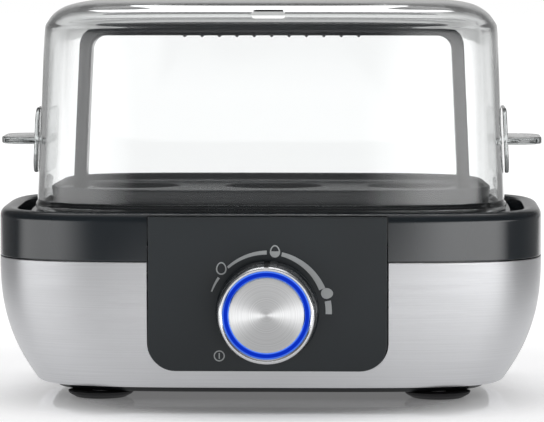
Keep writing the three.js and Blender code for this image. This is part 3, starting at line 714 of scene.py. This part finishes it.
def make_dial_print():
    line = 0.45
    soft = dial_spot(-46.8, 22.3)
    medium = dial_spot(7.1, 21.5)
    marks = [
        ink("dial_line", swept_band(-70.3, -55, 0.45, 0.9)),
        ink("dial_egg_soft", egg_outline(soft, 3.7, 4.5), egg_outline(soft, 3.7, 4.5, line)),
        ink("dial_arc_short", swept_band(-41.9, -0.7, 0.85, 1.45)),
        ink("dial_egg_medium", egg_outline(medium, 3.6, 4.4),
            [p for p in egg_outline(medium, 3.6, 4.4, line) if p[1] > medium.y - 0.1]),
        ink("dial_arc_long", swept_band(13.9, 67.4, 1.45, 2.3)),
        ink("dial_egg_hard", egg_outline(dial_spot(72.8, 22), 3.8, 4.25, turn=90)),
        ink("dial_bar", swept_band(79.8, 92.2, 2.2, 2.2, radius=21.6)),
    ]
    off_x, off_z, ring, stroke, half_bar = -17.0, -15.7, 1.95, 0.2, 1.05
    circle, hole = (arc(off_x, off_z, radius, 0, 350, 35) for radius in (ring, ring - 0.4))
    marks.append(ink("dial_off_circle", circle, hole))
    bar = [(off_x + sx * stroke, off_z + sz * half_bar)
           for sx, sz in ((-1, -1), (1, -1), (1, 1), (-1, 1))]
    marks.append(ink("dial_off_bar", bar))
    for mark in marks:
        finish_piece(mark, "base", "dial_print")


# ---------------------------------------------------------------- knob
def make_knob():
    middle = (0, 0, KNOB_Z)
    back = skirt_high.y - MIDDLE_Y
    bore = LIGHT_OUTER + GAP
    skirt = turned_ring("knob_skirt_ring", [
        (bore, back, 0), (SKIRT_RADIUS - 0.1, back, 0.2), (SKIRT_RADIUS, back - 1.2, 0.6),
        (KNOB_RADIUS + 0.2, SKIRT_FRONT, 0.4), (bore, SKIRT_FRONT, 0)], "Y", middle)
    carve(skirt, block("slot", (2, 6, 3), (0, SKIRT_FRONT + 1, KNOB_Z + 18.4), 0))
    finish_piece(skirt, "knob", "dark_plastic", "knob_skirt")

    # The bar starts in the skirt and runs forward in a groove along the bezel's top.
    bar_back, bar_front = SKIRT_FRONT + 1.95, KNOB_FRONT + 0.9
    bar_low, bar_high = KNOB_Z + KNOB_RADIUS - 0.6, KNOB_Z + KNOB_RADIUS + 0.1
    pointer = block("knob_pointer_bar", (1.4, bar_back - bar_front, bar_high - bar_low),
                    (0, (bar_back + bar_front) / 2, (bar_low + bar_high) / 2), 0.12)
    groove = block("groove", (1.6, 30, 2), (0, SKIRT_FRONT, bar_low + 0.9), 0)
    finish_piece(pointer, "knob", "component_black", "knob_pointer")

    bezel = turned_ring("knob_bezel_ring", [
        (bore, SKIRT_FRONT - GAP, 0.1), (KNOB_RADIUS, SKIRT_FRONT - GAP, 0.25),
        (KNOB_RADIUS, KNOB_FRONT + 2.4, 0.8), (KNOB_RADIUS - 0.45, KNOB_FRONT + 0.8, 0.6),
        (KNOB_RADIUS - 1.1, KNOB_FRONT, 0.5), (bore + 0.1, KNOB_FRONT + 0.5, 0.15),
        (bore, KNOB_FRONT + 0.9, 0.1)], "Y", middle)
    carve(bezel, groove)
    finish_piece(bezel, "knob", "bezel", "knob_bezel")

    ring_back, ring_front = back - GAP, KNOB_FRONT + 0.5
    ring = turned_ring("light_ring_guide", [
        (LIGHT_INNER, ring_back, 0.1), (LIGHT_OUTER, ring_back, 0.1),
        (LIGHT_OUTER, ring_front, 0.25), (LIGHT_INNER, ring_front, 0.25)], "Y", middle)
    finish_piece(ring, "knob", "lit_ring", "light_ring")

    cap_radius, cap_back = LIGHT_INNER - GAP, corners_mm("knob_cap")[1].y - MIDDLE_Y
    rim_y, dish = KNOB_FRONT + 0.2, 0.35
    face = [(cap_radius - 0.5 - (cap_radius - 0.5) * k / 10,
             rim_y + dish * (1 - (1 - k / 10) ** 2)) for k in range(1, 11)]
    cap = turned("knob_cap_disc", [(0, cap_back), (cap_radius - 0.2, cap_back),
                                   (cap_radius, cap_back - 0.2), (cap_radius, KNOB_FRONT + 0.6),
                                   (cap_radius - 0.1, KNOB_FRONT + 0.35),
                                   (cap_radius - 0.5, rim_y), *face], "Y", middle)
    finish_piece(cap, "knob", "spun_cap", "knob_cap", angle=40)


# ---------------------------------------------------------------- base pan, feet and gland
def make_base():
    bottom = pan_low.z
    shoulder = SLEEVE_BOTTOM - 0.3
    pan = loft("base_pan_tray", soften([
        (73.8, 44.4, bottom, 0), (77.2, 47.8, bottom, 0.8), (79.6, 50.2, shoulder, 0.4),
        (77.3, 48.1, shoulder, 0.1), (77.2, 48, 8, 0.2), (75.4, 46.2, 8, 0.2),
        (75.2, 46, 5, 0.4), (74, 45, bottom + 1.8, 0)], 0.3), BODY_PLAN)
    bosses, holes = [], []
    boss = [(0, 4), (4.8, 4), (4.8, 8.7), (4.5, 9), (0, 9)]
    for _, sx, sy in FEET:
        spot = (sx * FOOT_X, sy * FOOT_Y, 0)
        bosses.append(turned("boss", boss, "Z", spot, 32))
        holes.append(peg("hole", 2, -1, 12, "Z", spot, 32))
    join(pan, *bosses)
    carve(pan, *holes)
    finish_piece(pan, "base", "pan_plastic", "base_pan")

    for corner, sx, sy in FEET:
        foot = turned_ring(f"foot_pad_{corner}", [
            (3.9, 0.4, 0.3), (4.6, 0, 0.3), (8.8, 0, 0.6), (11.5, 1.5, 0.6), (11.8, 2.4, 0.1),
            (3.9, 2.4, 0.1)], "Z", (sx * FOOT_X, sy * FOOT_Y, 0), 64)
        finish_piece(foot, "base", "foot_rubber", f"foot_{corner}")

    gland = turned_ring("cord_gland_grommet", [
        (GLAND_BORE, 2.9, 0.5), (GLAND_FLANGE - 1, 2.9, 0.8), (GLAND_FLANGE, 2.0, 0.6),
        (GLAND_FLANGE, 0.5, 0.15), (GLAND_RADIUS, 0.5, 0.1), (GLAND_RADIUS, -4.5, 0.3),
        (GLAND_BORE, -4.5, 0.3)])
    finish_piece(lean_to_gland(gland), "base", "foot_rubber", "cord_gland")


# ---------------------------------------------------------------- heating plate
def make_heating_plate():
    low, high = corners_mm("heating_plate")
    w, d = HALF_WIDTH - 28.5, HALF_DEPTH - 20.4
    floor = high.z - 4.1
    levels = soften([
        (w - 3, d - 3, low.z, 0), (w, d, low.z + 0.8, 0.8), (w + 0.7, d + 0.7, high.z - 0.9, 0.4),
        (w + 4.6, d + 4.4, high.z - 0.9, 0.3), (w + 4.6, d + 4.4, high.z, 0.3),
        (w - 0.2, d - 0.2, high.z, 1.2), (w - 1.6, d - 1.6, floor + 0.8, 1.2),
        (w - 4.4, d - 4.4, floor, 1.2), (40, 22, floor, 0), (10, 6, floor + 0.25, 0)], 0.3)
    plate_shell = loft("heating_plate_dish", levels, BODY_PLAN)
    finish_piece(plate_shell, "base", "plate_steel", "heating_plate")


# ---------------------------------------------------------------- egg rack and its handle
def make_rack():
    w, d, top, floor = RACK_HALF_WIDTH, RACK_HALF_DEPTH, RACK_TOP, RACK_FLOOR
    bottom = rack_low.z
    tub = loft("egg_rack_tray", soften([
        (w - 3.5, d - 3.3, floor - 1.8, 0), (w - 3, d - 3, bottom, 0.4),
        (w - 1.2, d - 1.2, bottom, 0.4), (w, d, top - 0.5, 0.5),
        (w - 0.5, d - 0.5, top, 0.4), (w - 1.3, d - 1.3, top, 0.4),
        (w - 1.8, d - 1.8, top - 0.5, 0.3), (w - 2.3, d - 2.3, floor + 0.6, 0.6),
        (w - 3.2, d - 3.2, floor, 0)], 0.3), LID_PLAN)
    places = [(cx * EGG_PITCH[0], cy * EGG_PITCH[1]) for cx in (-1, 0, 1) for cy in (-0.5, 0.5)]
    collars, seats = [], []
    depth, lead = 5, 0.9
    for x, y in places:
        collars.append(turned("collar", soften([
            (0, floor - depth), (SEAT_RADIUS + 1.0, floor - depth, 0.4),
            (SEAT_RADIUS + 1.3, floor - 1), (0, floor - 1)], 0, size=2), "Z", (x, y, 0), 96))
        seats.append(turned("seat", [
            (0, floor - depth - 1), (16.0, floor - depth - 1), (16.5, floor - depth + 0.2),
            (SEAT_RADIUS - 0.6, floor - lead - 0.6), (SEAT_RADIUS - 0.2, floor - lead * 0.5),
            (SEAT_RADIUS + 0.3, floor - lead * 0.16), (SEAT_RADIUS + 1.0, floor),
            (SEAT_RADIUS + 1.0, floor + 1.5), (0, floor + 1.5)], "Z", (x, y, 0), 96))
    sockets = [block("socket", (9.4, 18, 6.2), (x, 0, floor - 2.4), 0.7) for x in (-70.6, 70.6)]
    slots = [block("slot", (5.95, 14.6, 14), (x, 0, floor - 1), 0.3) for x in (-70.9, 70.9)]
    join(tub, *collars, *sockets)
    carve(tub, *seats, *slots)
    finish_piece(tub, "rack", "rack_plastic", "egg_rack")


def make_handle():
    foot_x, top_x, thick, depth, radius = 73.4, 70.7, 4.7, 14, 9
    top, foot = handle_high.z, handle_low.z
    inner = radius - thick + 1.2
    outline = [(-foot_x, foot)]
    outline += arc(-top_x + radius, top - radius, radius, 180, 90, 14)
    outline += arc(top_x - radius, top - radius, radius, 90, 0, 14)
    outline += [(foot_x, foot), (foot_x - thick, foot)]
    outline += arc(top_x - thick - inner, top - thick - inner, inner, 0, 90, 10)
    outline += arc(-top_x + thick + inner, top - thick - inner, inner, 90, 180, 10)
    outline += [(-foot_x + thick, foot)]
    arch = plate("rack_handle_arch", outline, depth / 2, -depth / 2, edge=2.0, steps=6)
    pitch, count = 6.35, 11
    ribs = []
    for k in range(count):
        x = (k - (count - 1) / 2) * pitch
        bump = [(x - 0.75, top - thick + 0.4), (x - 0.6, top - thick - 0.15),
                (x - 0.25, top - thick - 0.6), (x + 0.25, top - thick - 0.6),
                (x + 0.6, top - thick - 0.15), (x + 0.75, top - thick + 0.4)]
        ribs.append(plate("rib", bump, depth / 2 - 2.2, 2.2 - depth / 2, edge=0.12, steps=2))
    join(arch, *ribs)
    finish_piece(arch, "rack", "rack_plastic", "rack_handle", angle=40)


# ---------------------------------------------------------------- lid
# Half width, half depth and height up the lid's shoulder and over its top, outside and inside.
SHOULDER = [(82.3, 51.4, 128), (80.9, 51.2, 134), (77, 50.9, 138), (71, 49.3, 140.3),
            (60, 45, 141.3), (35, 27, 141.8)]
INNER_SHOULDER = [(80.3, 49.4, 127.6), (79, 49.2, 132.9), (75.6, 48.9, 136.4),
                  (70.2, 47.2, 138.4), (60, 43.5, 139.3), (35, 27, 139.8)]


def make_lid():
    outside = smooth_through([(83.6, 52.3, 98), *SHOULDER, (8, 6, LID_TOP - 0.02)])
    inside = smooth_through([(81.6, 50.3, 98), *INNER_SHOULDER, (8, 6, LID_TOP - LID_WALL)])
    bead = soften([(81.7, 50.4, 98), (82.9, 51.2, LID_BOTTOM, 0.4), (85.5, 53.8, LID_BOTTOM, 0.7),
                   (85.5, 53.8, LID_BOTTOM + 1.9, 0.6), (84.9, 53.2, LID_BOTTOM + 2.8, 0.8),
                   (83.7, 52.4, 98)], 0, steps=5)[1:-1]
    levels = inside[::-1] + bead + outside
    lid = loft("lid_shell", levels, LID_PLAN)
    vent_z, half, r = 136.9, 6.1, 1.2
    slot = arc(-half + r, vent_z, r, 90, 270) + arc(half - r, vent_z, r, -90, 90)
    carve(lid, plate("vent", slot, -44.9, -60))
    finish_piece(lid, "lid", "clear_plastic", "lid")
    lid.visible_shadow = False


def make_lid_handle(side):
    name = "left" if side < 0 else "right"
    middle_z, half_depth, half_height, r = 90.6, 17, 11.8, 6
    outline = rounded_rectangle(half_depth, -half_height, half_height, r, r)
    back = plate(f"lid_handle_{name}_grip", outline, 0, 1.5, normal="X", edge=0.5, steps=3)
    back.data.transform(Matrix.Rotation(-math.radians(2.5), 4, "Y"))
    back.data.transform(Matrix.Translation(Vector((84.35, 0, middle_z)) * MM))
    root, corner, tip, thick = 85.5, 9, TAB_TIP, 2.5
    tab_outline = [(root, -half_depth)]
    tab_outline += arc(tip - corner, -half_depth + corner, corner, -90, 0)
    tab_outline += arc(tip - corner, half_depth - corner, corner, 0, 90)
    tab_outline += [(root, half_depth)]
    tab = plate("tab", tab_outline, middle_z - thick / 2, middle_z + thick / 2, "Z", 0.55, 3)
    join(back, tab)
    if side < 0:
        back.data.transform(Matrix.Rotation(math.pi, 4, "Z"))
    finish_piece(back, "lid", "clear_plastic", f"lid_handle_{name}")
    back.visible_shadow = False


# ---------------------------------------------------------------- carried-over CAD pieces
def dress_cad_nodes():
    for name, node in frame["nodes"].items():
        if node.hide_render:
            continue
        node.data.materials.clear()
        node.data.materials.append(materials[SLOTS[name]])
        node.data.polygons.foreach_set("use_smooth", [True] * len(node.data.polygons))
        node.data.set_sharp_from_angle(angle=math.radians(EDGE_ANGLE))


for make in (make_sleeve, make_rim, make_panel, make_dial_print, make_knob, make_base,
             make_heating_plate, make_rack, make_handle, make_lid):
    make()
make_lid_handle(-1)
make_lid_handle(1)
dress_cad_nodes()


# ---------------------------------------------------------------- studio
WHITE = (1, 1, 1, 1)
CAMERA_WHITE = 1.1  # what the camera sees of the far table
LID_CAP, NO_CAP = 1.1, 100.0  # the brightest seen through the lid, and far past any other light

# Patches of light: azimuth, elevation, half width, level and flatness.
TABLE_FRONT = [(0, 0, 34, 1.0, 1.0)]
TABLE_SIDES = [(59, 0, 37, 2.8, 1.0), (-38, 0, 35, 4.1, 1.0)]
SURROUND = [(180, 4, 30, 0.25, 1.0), (61, 0, 45, 3.2, 9.0), (-48, 0, 45, 4.8, 9.0),
            (0, 90, 46, 0.45, 1.0)]
# The surround's own level by height, from the horizon (0) to straight up (1).
SURROUND_LEVELS = [(0, 0.3), (0.08, 0.2), (0.25, 0.11), (0.7, 0.2), (1, 0.5)]


def direction(azimuth, elevation):
    """A unit vector. azimuth is clockwise from the camera's side seen from above, in degrees."""
    a, e = math.radians(azimuth), math.radians(elevation)
    return Vector((-math.sin(a) * math.cos(e), -math.cos(a) * math.cos(e), math.sin(e)))


def combine_values(tree, operation, *values):
    """A sum, product or the like of one or two values."""
    return add_node(tree, "Math", dict(enumerate(values)), operation=operation).outputs["Value"]


def ramp_between(tree, value, start, end, low=0.0, high=1.0):
    """Goes smoothly from low at start to high at end."""
    ranger = add_node(tree, "MapRange", {"Value": value, "From Min": start, "From Max": end,
                                         "To Min": low, "To Max": high},
                      interpolation_type="SMOOTHSTEP")
    return ranger.outputs["Result"]


def mix_shaders(tree, share, first, second):
    return add_node(tree, "MixShader", {0: share, 1: first, 2: second}).outputs["Shader"]


def add_patches(tree, towards, total, patches):
    """Adds soft patches to a brightness. towards is the direction each is looked for in."""
    for azimuth, elevation, half, level, flatness in patches:
        axis = direction(azimuth, elevation)
        axis = Vector((axis.x, axis.y, axis.z * flatness)).normalized()
        squash = add_node(tree, "VectorMath", {0: towards, 1: (1, 1, flatness)},
                          operation="MULTIPLY")
        unit = add_node(tree, "VectorMath", {0: squash.outputs["Vector"]}, operation="NORMALIZE")
        facing = add_node(tree, "VectorMath", {0: unit.outputs["Vector"], 1: axis},
                          operation="DOT_PRODUCT")
        edge, core = (math.cos(math.radians(angle)) for angle in (half, half * 0.35))
        patch = ramp_between(tree, facing.outputs["Value"], edge, core, 0.0, level)
        total = combine_values(tree, "ADD", total, patch)
    return total


def distance_from_body(tree, reach_x, reach_y, shift=0.0):
    """1 on an ellipse of that reach in metres about the body's middle, and 0 in its middle.
    shift moves the ellipse back."""
    shrink = add_node(tree, "Mapping", {
        "Vector": own_space(tree), "Location": (0, -(MIDDLE_Y * MM + shift) / reach_y, 0),
        "Scale": (1 / reach_x, 1 / reach_y, 0)}, vector_type="POINT")
    far = add_node(tree, "VectorMath", {0: shrink.outputs["Vector"]}, operation="LENGTH")
    return far.outputs["Value"]


def calmed_by_lid(tree, path, level):
    """Keeps the strips' glare out of what is seen through the clear lid."""
    lowered = combine_values(tree, "MULTIPLY", path["Is Transmission Ray"], -NO_CAP)
    cap = combine_values(tree, "ADD", lowered, NO_CAP + LID_CAP)
    return combine_values(tree, "MINIMUM", level, cap)


def table_glow(tree, path):
    """How brightly the far table glows. A lane behind the cooker is bright, and so are a patch
    in front and a strip to each side. The camera sees plain white from every side."""
    place = own_space(tree)
    spot = add_node(tree, "SeparateXYZ", {"Vector": place}).outputs
    aside = combine_values(tree, "ABSOLUTE", spot["X"])
    from_camera = combine_values(tree, "ADD", spot["Y"], 1.5)
    share = combine_values(tree, "DIVIDE", aside, from_camera)
    lane = ramp_between(tree, share, 0.10, 0.24, 1.1, 0.28)
    ahead = ramp_between(tree, spot["Y"], -1.4, -0.9, 0.15, 1.0)
    level = combine_values(tree, "MULTIPLY", lane, ahead)
    distance = distance_from_body(tree, 1, 1)
    close = combine_values(tree, "MULTIPLY", ramp_between(tree, distance, 0.14, 0.19),
                           ramp_between(tree, distance, 0.32, 0.44, 1.0, 0.0))
    beyond = ramp_between(tree, distance, 0.34, 0.5)
    for patches, zone in ((TABLE_FRONT, close), (TABLE_SIDES, beyond)):
        patch = add_patches(tree, place, 0.0, patches)
        patch = combine_values(tree, "MULTIPLY", patch, zone)
        level = combine_values(tree, "ADD", level, patch)
    level = calmed_by_lid(tree, path, level)
    plain = combine_values(tree, "MULTIPLY", path["Is Camera Ray"], CAMERA_WHITE)
    return combine_values(tree, "MAXIMUM", level, plain)


def make_floor():
    """A white table that glows away from the cooker. Near it the table takes shadows, and just
    in front of it the camera sees a soft reflection."""
    reach = 6.0
    corners = [(x * reach, y * reach, 0) for x, y in ((-1, -1), (1, -1), (1, 1), (-1, 1))]
    mesh = bpy.data.meshes.new("studio_floor")
    mesh.from_pydata(corners, [], [(0, 1, 2, 3)])
    floor = bpy.data.objects.new("studio_floor", mesh)
    bpy.context.scene.collection.objects.link(floor)
    material, tree, shader = start_material("studio_floor", {
        "Base Color": (0.78, 0.78, 0.79, 1), "Roughness": 1.0, "Specular IOR Level": 0.0,
        "Emission Color": WHITE, "Emission Strength": 0.5})
    path = add_node(tree, "LightPath").outputs
    glow = add_node(tree, "Emission", {"Strength": table_glow(tree, path)})
    outward = ramp_between(tree, distance_from_body(tree, 0.1, 0.1), 1.3, 2.4)
    base = mix_shaders(tree, outward, shader.outputs["BSDF"], glow.outputs["Emission"])

    gloss = add_node(tree, "BsdfGlossy", {"Roughness": 0.06, "Color": (0.95, 0.95, 0.96, 1)})
    away = distance_from_body(tree, 0.123, 0.095, -0.04)
    shine = ramp_between(tree, away, 0.42, 1.0, 0.8, 0.0)
    seen = combine_values(tree, "MULTIPLY", shine, path["Is Camera Ray"])
    surface = mix_shaders(tree, seen, base, gloss.outputs["BSDF"])
    feed(tree, tree.nodes["Material Output"], {"Surface": surface})
    mesh.materials.append(material)
    material.cycles.emission_sampling = "NONE"


def make_world():
    """White for the camera. Everything else is lit by a soft studio, dim above the camera."""
    world = bpy.data.worlds.new("studio")
    bpy.context.scene.world = world
    world.use_nodes = True
    tree = world.node_tree
    tree.nodes.clear()
    towards = add_node(tree, "TexCoord").outputs["Generated"]
    height = add_node(tree, "SeparateXYZ", {"Vector": towards}).outputs["Z"]
    ramp = add_node(tree, "ValToRGB", {"Fac": height})
    while len(ramp.color_ramp.elements) < len(SURROUND_LEVELS):
        ramp.color_ramp.elements.new(0.5)
    for element, (position, grey) in zip(ramp.color_ramp.elements, SURROUND_LEVELS):
        element.position, element.color = position, (grey, grey, grey, 1)
    level = add_patches(tree, towards, ramp.outputs["Color"], SURROUND)
    path = add_node(tree, "LightPath").outputs
    level = calmed_by_lid(tree, path, level)
    surround = add_node(tree, "Background", {"Strength": level, "Color": WHITE})
    white = add_node(tree, "Background", {"Color": WHITE})
    surface = mix_shaders(tree, path["Is Camera Ray"], surround.outputs["Background"],
                          white.outputs["Background"])
    add_node(tree, "OutputWorld", {"Surface": surface})


def softbox(name, azimuth, height, distance, size, radiance):
    """A soft rectangular light that faces the cooker, with lengths in metres."""
    data = bpy.data.lights.new(name, "AREA")
    data.shape, data.size, data.size_y = "RECTANGLE", size[0], size[1]
    data.energy = radiance * math.pi * size[0] * size[1]
    light = bpy.data.objects.new(name, data)
    bpy.context.scene.collection.objects.link(light)
    middle = Vector((0, MIDDLE_Y * MM, 0))
    light.location = middle + direction(azimuth, 0) * distance + Vector((0, 0, height))
    aim = middle + Vector((0, 0, 0.06)) - light.location
    light.rotation_euler = aim.to_track_quat("-Z", "Y").to_euler()


make_floor()
make_world()
softbox("overhead", 180, 1.5, 0.5, (1.4, 1.0), 1.1)
bpy.context.scene.view_settings.view_transform = "Standard"
